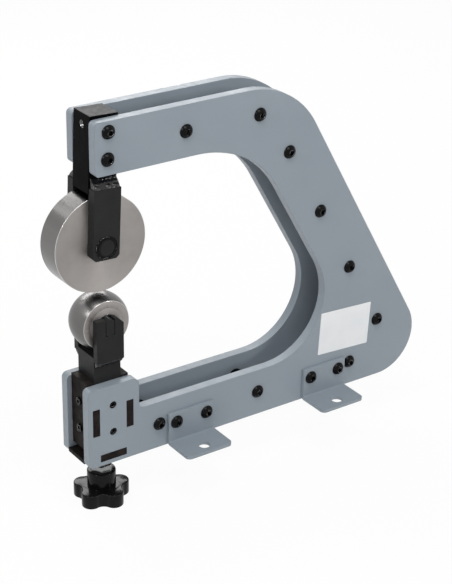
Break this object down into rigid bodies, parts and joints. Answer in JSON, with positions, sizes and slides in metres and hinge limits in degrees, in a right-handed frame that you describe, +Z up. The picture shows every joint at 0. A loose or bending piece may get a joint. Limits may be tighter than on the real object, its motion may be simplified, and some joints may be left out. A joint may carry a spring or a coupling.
{
  "type": "english wheel",
  "caption": "Bench english wheel: C-shaped frame of bolted side plates, a flat upper wheel over a crowned anvil, raised by a star knob on a lead screw.",
  "frame": {"origin": "middle of the four bench bolt holes, in the plane of the bench top", "axes": "+X along the throat from the wheels to the spine, +Y across the machine, +Z up"},
  "size_m": [0.6555, 0.1908, 0.6237],
  "materials": {
    "powder_grey": "satin",
    "gloss_black": "gloss",
    "satin_black": "satin",
    "oiled_black": "matte",
    "turned_steel": "brushed",
    "bearing_steel": "polished",
    "bronze": "satin",
    "knob_black": "gloss"
  },
  "bodies": {
    "frame": {"side_plate_near": "powder_grey", "side_plate_far": "powder_grey", "spacer_bars": "gloss_black", "frame_screws_near": "gloss_black", "frame_screws_far": "gloss_black", "foot_front_near": "powder_grey", "foot_rear_near": "powder_grey", "foot_front_far": "powder_grey", "foot_rear_far": "powder_grey", "foot_screws_near": "gloss_black", "foot_screws_far": "gloss_black", "head_bar": "gloss_black", "head_shims": "satin_black", "fork_ear_near": "satin_black", "fork_ear_far": "satin_black", "head_welds": "gloss_black", "wheel_axle": "satin_black", "axle_clips": "satin_black", "wheel_spacers": "bearing_steel", "wheel_bearing_inners": "bearing_steel", "guide_wall_front": "oiled_black", "guide_wall_rear": "oiled_black", "guide_floor": "oiled_black", "toe_strip": "satin_black", "side_adjusters_near": "satin_black", "side_adjusters_far": "satin_black", "front_adjusters": "satin_black", "lead_nut": "bronze"},
    "upper_wheel": {"upper_wheel": "turned_steel", "wheel_bearing_outers": "bearing_steel", "wheel_bearing_balls": "bearing_steel", "wheel_keepers": "turned_steel"},
    "cradle": {"post": "satin_black", "cradle_ear_near": "satin_black", "cradle_ear_far": "satin_black", "cradle_welds": "satin_black", "anvil_axle": "satin_black", "anvil_spacers": "bearing_steel", "anvil_bearing_inners": "bearing_steel", "thrust_plug": "bearing_steel"},
    "lower_anvil": {"lower_anvil": "turned_steel", "anvil_bearing_outers": "bearing_steel", "anvil_bearing_balls": "bearing_steel", "anvil_keepers": "turned_steel"},
    "lead_screw": {"lead_screw": "bearing_steel", "jam_nut": "bearing_steel", "star_knob": "knob_black", "knob_washer": "bearing_steel", "knob_screw": "gloss_black"}
  },
  "joints": [
    {"name": "wheel_spin", "type": "hinge", "parent": "frame", "child": "upper_wheel", "pos_m": [-0.26956, 0, 0.35153], "axis": [0, 1, 0], "continuous": true},
    {"name": "cradle_lift", "type": "slide", "parent": "frame", "child": "cradle", "axis": [0, 0, 1], "range_m": [-0.018, 0.0105]},
    {"name": "anvil_spin", "type": "hinge", "parent": "cradle", "child": "lower_anvil", "pos_m": [-0.2632, 0, 0.22248], "axis": [0, 1, 0], "continuous": true},
    {"name": "knob_spin", "type": "hinge", "parent": "cradle", "child": "lead_screw", "pos_m": [-0.2632, 0, -0.0668], "axis": [0, 0, 1], "range_deg": [-1621, 946]}
  ],
  "couplings": [
    {"joint": "knob_spin", "follows": "cradle_lift", "rad_per_m": 1570.8}
  ]
}
